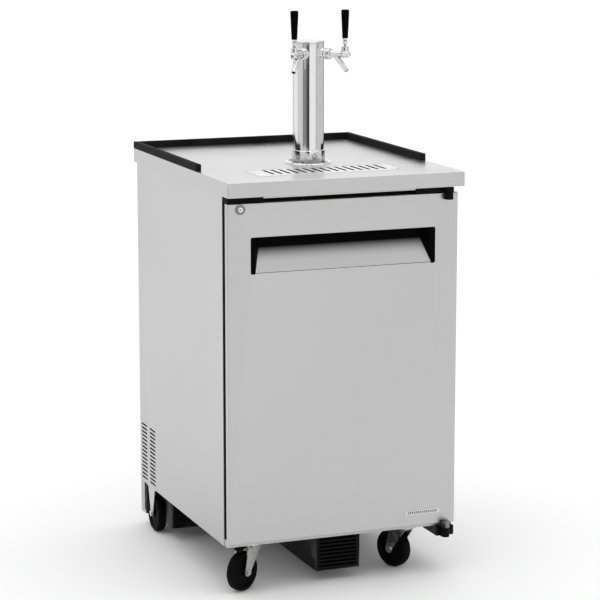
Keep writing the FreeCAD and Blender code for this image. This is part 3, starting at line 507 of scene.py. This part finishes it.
FRONTWARD, REARWARD, RIGHTWARD = (0, -1, 0), (0, 1, 0), (1, 0, 0)
DOOR_FACE = -340.0            # y of the door's front face, mm
WORKTOP_FACE = -365.0         # y of the worktop's front edge, mm
HINGE_BAR_FACE = -342.0       # y of the front of the hinge's cover bar, mm
LOCK_X, LOCK_Z = -261.0, 932.0


def front_fittings():
    """Worktop's folded hem over the door, the lock's keyway, bead at the foot of the recess."""
    add_slab("worktop_hem", (-212, WORKTOP_FACE + 1, 959.4), (172, WORKTOP_FACE + 4, 963.2),
             0.8, "stainless_top", "cabinet")
    add_slab("keyway_seal", (LOCK_X - 3.4, DOOR_FACE - 3.2, LOCK_Z - 1),
             (LOCK_X + 3.4, DOOR_FACE - 1.6, LOCK_Z + 1), 0.4, "black_plastic", "lock")
    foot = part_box("grip_ramp")[0] / MM
    add_slab("recess_bead", (foot.x + 0.6, DOOR_FACE - 0.3, foot.z - 1.1),
             (-foot.x - 0.6, DOOR_FACE + 0.8, foot.z + 0.9), 0.3, "stainless_panel", "door")


def rear_fittings():
    """Screws round the back sheet and round the cover of the machine bay."""
    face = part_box("back_panel")[1].y
    spots = on_both_sides(270, face, (330, 480, 640, 800, 930), REARWARD)
    spots += on_both_sides(120, face, (945,), REARWARD)
    add_screws("back_panel_screws", pan_head(0.0042), spots, "zinc_steel", "cabinet")
    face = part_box("rear_cover")[1].y
    spots = on_both_sides(279, face, (60, 160, 270), REARWARD)
    spots += on_both_sides(95, face, (283,), REARWARD)
    add_screws("rear_cover_screws", pan_head(0.0045), spots, "zinc_steel", "cabinet")


def cord_gland():
    """Moulded bush where the supply lead enters; the lead itself is not modelled."""
    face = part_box("rear_cover")[1].y
    rings = [(0.0125, 0, "round"), (0.0125, 0.0012, "round"), (0.011, 0.0022, "round"),
             (0.0098, 0.0022, "hex"), (0.0098, 0.0058, "hex"), (0.0075, 0.0064, "round"),
             (0.0052, 0.0064, "round"), (0.0048, 0.0012, "round")]
    bm = bmesh.new()
    add_turned(bm, rings, frame_at((-0.245, face, 0.245), REARWARD), 36)
    add_piece("cord_gland", to_mesh("cord_gland", bm), "black_plastic", "cabinet")


def hinge_fittings():
    """Screws of the upper hinge's cover bar and bolts of the lower hinge's bracket."""
    spots = [((x * MM, HINGE_BAR_FACE * MM, 953.2 * MM), FRONTWARD) for x in (198, 238)]
    add_screws("hinge_cover_screws", pan_head(0.0022), spots, "black_plastic", "cabinet")
    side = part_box("hinge_bracket_bottom")[1].x
    spots = [((side, y * MM, 106 * MM), RIGHTWARD) for y in (-318, -288, -256)]
    add_screws("hinge_bolts", hex_head(0.0042), spots, "zinc_steel", "cabinet")


def badge_ribs():
    """Plain raised ornament on the badge: a row of slanted bars, no lettering."""
    low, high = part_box("badge")
    count, lean, width, proud = 15, 0.0022, 0.0017, 0.0006
    end_margin, edge_margin = 0.009, 0.0026
    z0, z1 = low.z + edge_margin, high.z - edge_margin
    bm = bmesh.new()
    for k in range(count):
        x = low.x + end_margin + (high.x - low.x - 2 * end_margin) * k / (count - 1)
        foot = [(x - width / 2 - lean / 2, z0), (x + width / 2 - lean / 2, z0),
                (x + width / 2 + lean / 2, z1), (x - width / 2 + lean / 2, z1)]
        back = [bm.verts.new((px, low.y, pz)) for px, pz in foot]
        front = [bm.verts.new((px * 0.98 + x * 0.02, low.y - proud, pz)) for px, pz in foot]
        bm.faces.new(front)
        bm.faces.new(list(reversed(back)))
        for i in range(4):
            j = (i + 1) % 4
            bm.faces.new((back[i], back[j], front[j], front[i]))
    add_piece("badge_ribs", to_mesh("badge_ribs", bm), "black_plastic", "door")


def inside_fittings():
    """Screws of the evaporator's cover and of the thermostat's box."""
    spots = on_both_sides(168, 0.190, (732, 858), FRONTWARD)
    add_screws("evaporator_screws", pan_head(0.0036), spots, "zinc_steel", "cabinet")
    low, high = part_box("thermostat_box")
    middle = (low.x + high.x) / 2
    spots = [((middle + side * 26 * MM, low.y, 876 * MM), FRONTWARD) for side in (-1, 1)]
    add_screws("thermostat_screws", pan_head(0.0022), spots, "zinc_steel", "cabinet")


front_fittings()
rear_fittings()
cord_gland()
hinge_fittings()
badge_ribs()
inside_fittings()


# ---------------------------------------------------------------- stage, light, camera

CAMERA_TURN = -21.1           # degrees round from straight ahead, towards the object's left
CAMERA_PLACE = (-2.07395, -5.41598, 1.73134)
CAMERA_DIP, CAMERA_HEADING = 0.18561, -0.36877      # radians
CAMERA_LENS, CAMERA_SENSOR = 141.0, 36
SCREENS = (                   # name, start and stop in degrees from the camera's side, tone
    ("black_screen", -3.5, 7.7, 0.01),
    ("dark_screen", -14, -3.5, 0.08),
    ("grey_screen", -41, -14, 0.25),
    ("pale_screen", -85, -41, 0.75),
    ("thin_screen", 56, 61, 0.4),
    ("right_screen", 61, 140, 0.68),
    ("back_screen", 140, 213, 0.3),
)
SCREEN_HEIGHT, SCREEN_RADIUS = 1.05, 4.4


def make_floor():
    """Wide pale sweep under and behind the object."""
    half = 30.0
    mesh = bpy.data.meshes.new("floor")
    mesh.from_pydata([(-half, -half, 0), (half, -half, 0), (half, half, 0), (-half, half, 0)],
                     [], [(0, 1, 2, 3)])
    floor = bpy.data.objects.new("floor", mesh)
    bpy.context.scene.collection.objects.link(floor)
    f = Finish("pale_floor", grey(0.92), 0.0, 0.7)
    f.rough(f.fit(f.noise(4), 0.65, 0.75))
    mesh.materials.append(f.material)


def make_screen(name, start, stop, tone):
    """Low curved studio screen, degrees round from the camera's side; it shows only in glossy
    reflections and neither shades the floor nor tints anything."""
    steps = 12
    corners, faces = [], []
    for k in range(steps + 1):
        turn = math.radians(CAMERA_TURN + start + (stop - start) * k / steps)
        x, y = SCREEN_RADIUS * math.sin(turn), -SCREEN_RADIUS * math.cos(turn)
        corners += [(x, y, 0.0), (x, y, SCREEN_HEIGHT)]
    for k in range(steps):
        faces.append((2 * k, 2 * k + 2, 2 * k + 3, 2 * k + 1))
    mesh = bpy.data.meshes.new(name)
    mesh.from_pydata(corners, [], faces)
    screen = bpy.data.objects.new(name, mesh)
    bpy.context.scene.collection.objects.link(screen)
    f = Finish(name + "_cloth", grey(tone), 0.0, 0.95)
    f.color(f.mix(f.fit(f.noise(60), 0, 1), grey(tone * 0.95), grey(min(1, tone * 1.05))))
    mesh.materials.append(f.material)
    screen.visible_camera = False
    screen.visible_diffuse = False
    screen.visible_shadow = False


def make_world():
    """A white studio: brightest at the horizon, duller overhead."""
    world = bpy.data.worlds.new("studio")
    bpy.context.scene.world = world
    world.use_nodes = True
    nodes, links = world.node_tree.nodes, world.node_tree.links
    nodes.clear()
    where = nodes.new("ShaderNodeTexCoord").outputs["Generated"]
    split = nodes.new("ShaderNodeSeparateXYZ")
    links.new(where, split.inputs[0])
    ramp = nodes.new("ShaderNodeValToRGB")
    links.new(split.outputs["Z"], ramp.inputs[0])
    low, high = ramp.color_ramp.elements
    low.position, low.color = 0.15, (1, 1, 1, 1)
    high.position, high.color = 0.7, (0.62, 0.62, 0.62, 1)
    light = nodes.new("ShaderNodeBackground")
    links.new(ramp.outputs[0], light.inputs["Color"])
    light.inputs["Strength"].default_value = 1.08
    output = nodes.new("ShaderNodeOutputWorld")
    links.new(light.outputs[0], output.inputs[0])


def make_sky_light():
    """Broad soft light from overhead, the same all over the floor."""
    data = bpy.data.lights.new("overhead", "SUN")
    data.energy = 1.3
    data.angle = math.radians(80)
    lamp = bpy.data.objects.new("overhead", data)
    bpy.context.scene.collection.objects.link(lamp)


def make_camera():
    data = bpy.data.cameras.new("camera")
    data.sensor_width = CAMERA_SENSOR
    data.lens = CAMERA_LENS
    data.clip_end = 100
    camera = bpy.data.objects.new("camera", data)
    bpy.context.scene.collection.objects.link(camera)
    camera.location = CAMERA_PLACE
    camera.rotation_euler = (math.pi / 2 - CAMERA_DIP, 0, CAMERA_HEADING)
    bpy.context.scene.camera = camera


make_floor()
make_world()
for screen in SCREENS:
    make_screen(*screen)
make_sky_light()
make_camera()
bpy.context.scene.view_settings.view_transform = "Standard"
